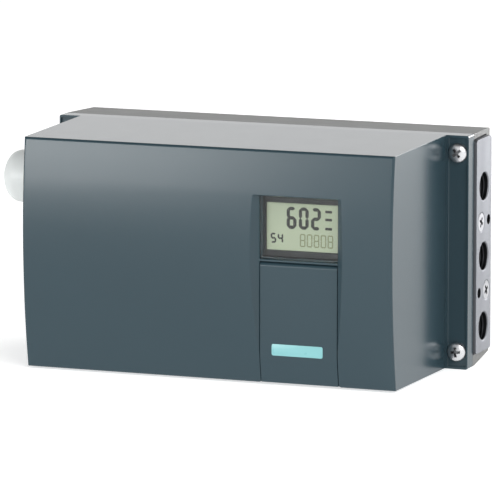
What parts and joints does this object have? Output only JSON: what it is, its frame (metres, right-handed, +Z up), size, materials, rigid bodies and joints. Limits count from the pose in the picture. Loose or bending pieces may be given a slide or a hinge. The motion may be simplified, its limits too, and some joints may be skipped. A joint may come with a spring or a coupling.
{
  "type": "valve positioner",
  "caption": "Box-shaped electropneumatic valve positioner: crowned plastic cover with display window and key flap, metal port plate, cable gland, geared feedback shaft.",
  "frame": {"origin": "on the feedback shaft's axis, in the plane of the rear mounting face", "axes": "+X to the right seen from the front, +Y out of the rear face along the shaft, +Z up"},
  "size_m": [0.2122, 0.116, 0.0964],
  "materials": {
    "case_plastic": "semi-gloss moulded polycarbonate",
    "base_plastic": "satin moulded polycarbonate",
    "window": "clear pane",
    "rubber": "soft seal",
    "steel": "bright nickel",
    "aluminium": "machined, silver anodised",
    "brass": "turned",
    "dark_plastic": "satin black",
    "pale_plastic": "pale grey polyamide",
    "yellow_plastic": "satin yellow",
    "board": "lacquered circuit board",
    "terminal_plastic": "satin green",
    "display": "liquid crystal panel"
  },
  "bodies": {
    "housing": {"base_housing": "base_plastic", "rear_inserts": "brass", "cover_inserts": "brass", "shaft_bush": "brass", "shaft_seal": "rubber", "exhaust_silencer": "brass", "port_plate": "aluminium", "port_plate_gasket": "rubber", "port_plate_screws": "steel", "port_screens": "steel", "pneumatic_block": "aluminium", "pneumatic_block_screws": "steel", "pilot_valve": "dark_plastic", "pilot_valve_screws": "steel", "gland_body": "pale_plastic", "gland_nut": "pale_plastic", "gland_insert": "rubber", "gland_seal": "rubber", "blanking_plug": "pale_plastic", "plug_seal": "rubber", "potentiometer": "dark_plastic", "gear_bridge": "dark_plastic", "bridge_screws": "steel", "board_standoffs": "brass", "main_board": "board", "board_components": "dark_plastic", "board_screws": "steel", "key_switches": "steel", "module_cover": "dark_plastic", "display_frame": "dark_plastic", "display_glass": "display", "terminal_board": "board", "terminal_blocks": "terminal_plastic", "terminal_screws": "steel", "ribbon_cable": "pale_plastic"},
    "cover": {"front_cover": "case_plastic", "display_window": "window", "housing_gasket": "rubber", "cover_screws": "steel", "hinge_pin": "steel"},
    "flap": {"key_flap": "case_plastic"},
    "key_mode": {"mode_key": "dark_plastic"},
    "key_down": {"down_key": "dark_plastic"},
    "key_up": {"up_key": "dark_plastic"},
    "shaft": {"feedback_shaft": "steel", "drive_gear": "pale_plastic", "clutch_spring": "steel", "clutch_wheel": "yellow_plastic", "retaining_ring": "steel"},
    "pot_rotor": {"pot_shaft": "steel", "pot_pinion": "pale_plastic"},
    "selector": {"ratio_selector": "yellow_plastic"},
    "throttle_upper": {"restrictor_upper": "brass"},
    "throttle_lower": {"restrictor_lower": "brass"},
    "purge": {"purge_selector": "yellow_plastic"}
  },
  "joints": [
    {"name": "cover_slide", "type": "slide", "parent": "housing", "child": "cover", "axis": [0, -1, 0], "range_m": [0, 0.11]},
    {"name": "flap_hinge", "type": "hinge", "parent": "cover", "child": "flap", "pos_m": [0.0611, -0.0934, 0.0003], "axis": [-1, 0, 0], "range_deg": [0, 90]},
    {"name": "key_mode_press", "type": "slide", "parent": "housing", "child": "key_mode", "axis": [0, 1, 0], "range_m": [0, 0.001], "stiffness_N_per_m": 300, "springref_m": -0.001},
    {"name": "key_down_press", "type": "slide", "parent": "housing", "child": "key_down", "axis": [0, 1, 0], "range_m": [0, 0.001], "stiffness_N_per_m": 300, "springref_m": -0.001},
    {"name": "key_up_press", "type": "slide", "parent": "housing", "child": "key_up", "axis": [0, 1, 0], "range_m": [0, 0.001], "stiffness_N_per_m": 300, "springref_m": -0.001},
    {"name": "shaft_turn", "type": "hinge", "parent": "housing", "child": "shaft", "pos_m": [0, 0, 0], "axis": [0, 1, 0], "range_deg": [-50, 50]},
    {"name": "pot_turn", "type": "hinge", "parent": "housing", "child": "pot_rotor", "pos_m": [0.032, 0, 0], "axis": [0, 1, 0], "range_deg": [-150, 150]},
    {"name": "selector_slide", "type": "slide", "parent": "housing", "child": "selector", "axis": [0, 0, 1], "range_m": [0, 0.006]},
    {"name": "throttle_upper_turn", "type": "hinge", "parent": "housing", "child": "throttle_upper", "pos_m": [0.08975, -0.058, -0.001], "axis": [0, -1, 0], "range_deg": [0, 720]},
    {"name": "throttle_lower_turn", "type": "hinge", "parent": "housing", "child": "throttle_lower", "pos_m": [0.08975, -0.058, -0.027], "axis": [0, -1, 0], "range_deg": [0, 720]},
    {"name": "purge_turn", "type": "hinge", "parent": "housing", "child": "purge", "pos_m": [0.08975, -0.058, -0.014], "axis": [0, 1, 0], "range_deg": [0, 90]}
  ],
  "couplings": [
    {"joint": "pot_turn", "follows": "shaft_turn", "ratio": -3}
  ]
}
